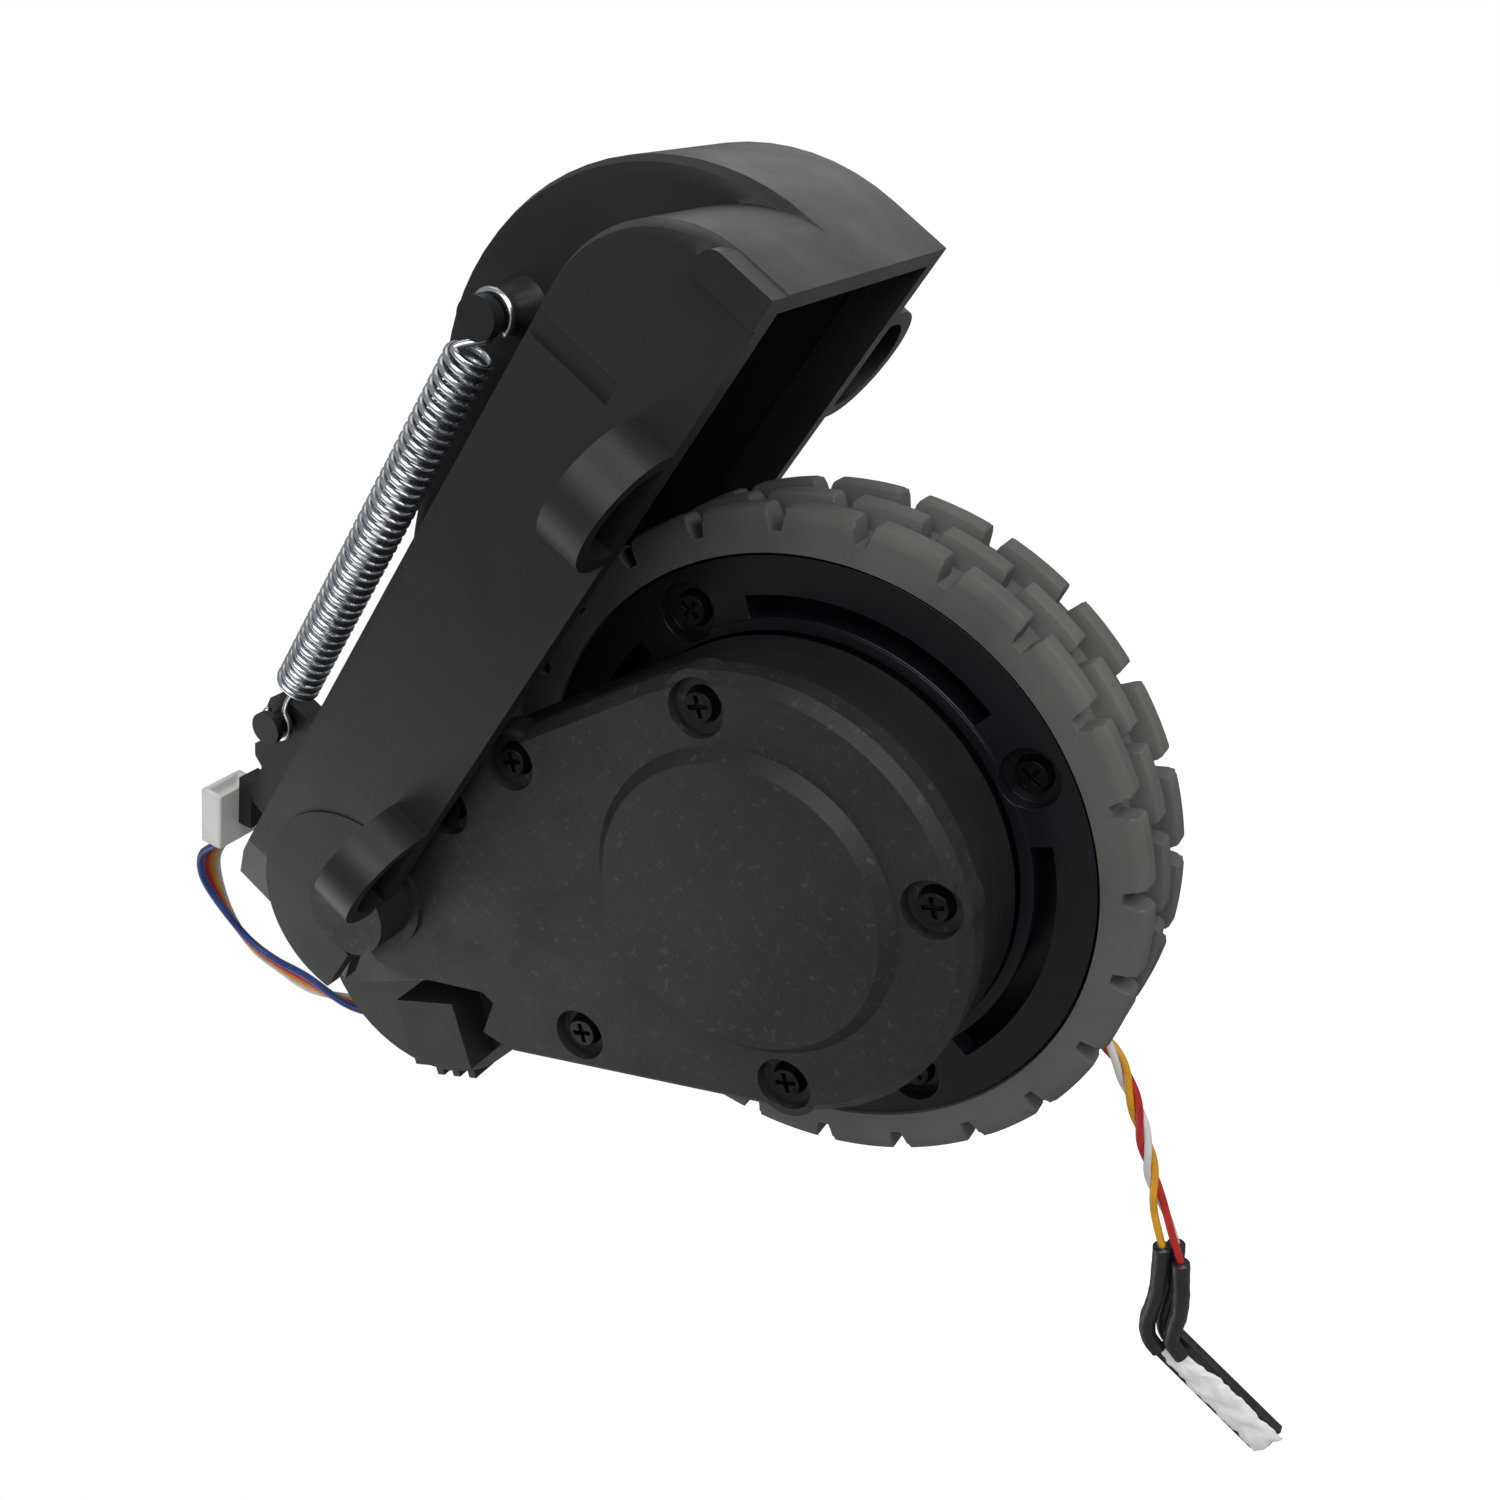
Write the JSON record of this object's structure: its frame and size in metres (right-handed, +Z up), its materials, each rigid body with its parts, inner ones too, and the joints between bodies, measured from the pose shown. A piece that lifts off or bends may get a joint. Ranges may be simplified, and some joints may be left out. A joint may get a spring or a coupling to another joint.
{
  "type": "wheel module",
  "caption": "Drive wheel module of a robot vacuum: black fender, swing arm with motor and gears, ribbed rubber tyre, tension spring and coloured leads.",
  "frame": {"origin": "midway between the two near mounting ear holes, on the underside of the ears' top plates, which seats on the robot's base", "axes": "+X from the arm's pivot towards the arches, +Y along the wheel's axis from the gearbox cover to the far side, +Z up in the robot, away from the opening the wheel drops through"},
  "size_m": [0.1197, 0.048, 0.1446],
  "materials": {
    "black_plastic": "fine moulded grain, slightly worn",
    "cover_plastic": "spark-eroded grain with pale scuffs",
    "hub_plastic": "smooth, faintly glossy",
    "black_steel": "blackened",
    "steel": "bright",
    "spring_steel": "zinc plated wire",
    "magnet": "grey ferrite",
    "copper": "wound copper, simplified",
    "brass": "machined",
    "bronze": "sintered bronze",
    "gear_plastic": "natural acetal",
    "white_plastic": "plain white",
    "tread": "grey-green rubber, matt",
    "blue_insulation": "soft insulation",
    "red_insulation": "soft insulation",
    "yellow_insulation": "soft insulation",
    "white_insulation": "soft insulation",
    "shrink": "shrunk tube, satin",
    "sealant": "cured white sealant"
  },
  "bodies": {
    "fender": {"fender": "black_plastic", "tension_spring": "spring_steel", "sensor_lead": "yellow_insulation", "shrink_tubes": "shrink", "sensor_strip": "shrink", "strip_sealant": "sealant"},
    "arm": {"gearbox_cover": "cover_plastic", "gearbox_body": "black_plastic", "cover_screws": "black_steel", "motor_can": "steel", "motor_magnets": "magnet", "motor_end_cap": "white_plastic", "motor_cap": "black_plastic", "gear_pins": "steel", "near_bush": "bronze", "far_bush": "bronze", "connector": "white_plastic", "wire_blue": "blue_insulation", "wire_red": "red_insulation", "wire_yellow": "yellow_insulation", "wire_white": "white_insulation"},
    "wheel": {"output_gear": "gear_plastic", "output_shaft": "steel", "wheel_hub": "hub_plastic", "hub_cap": "hub_plastic", "hub_screws": "black_steel", "shaft_clip": "steel", "tyre": "tread"},
    "second": {"second_gear": "gear_plastic"},
    "first": {"first_gear": "gear_plastic"},
    "rotor": {"motor_rotor": "copper", "motor_pinion": "brass"}
  },
  "joints": [
    {"name": "arm_swing", "type": "hinge", "parent": "fender", "child": "arm", "pos_m": [-0.0362, 0.02, -0.0004], "axis": [0, -1, 0], "range_deg": [0, 24], "stiffness_Nm_per_rad": 0.25, "springref_deg": -57.3, "deforming": ["tension_spring"]},
    {"name": "wheel_spin", "type": "hinge", "parent": "arm", "child": "wheel", "pos_m": [-0.0008, 0.02, -0.03085], "axis": [0, 1, 0], "continuous": true},
    {"name": "second_spin", "type": "hinge", "parent": "arm", "child": "second", "pos_m": [-0.01795, 0.02, -0.01875], "axis": [0, 1, 0], "continuous": true},
    {"name": "first_spin", "type": "hinge", "parent": "arm", "child": "first", "pos_m": [-0.03041, 0.02, -0.01235], "axis": [0, 1, 0], "continuous": true},
    {"name": "rotor_spin", "type": "hinge", "parent": "arm", "child": "rotor", "pos_m": [-0.04437, 0.02, -0.00775], "axis": [0, 1, 0], "continuous": true}
  ],
  "couplings": [
    {"joint": "second_spin", "follows": "wheel_spin", "ratio": -4},
    {"joint": "first_spin", "follows": "wheel_spin", "ratio": 12},
    {"joint": "rotor_spin", "follows": "wheel_spin", "ratio": -38.4}
  ]
}
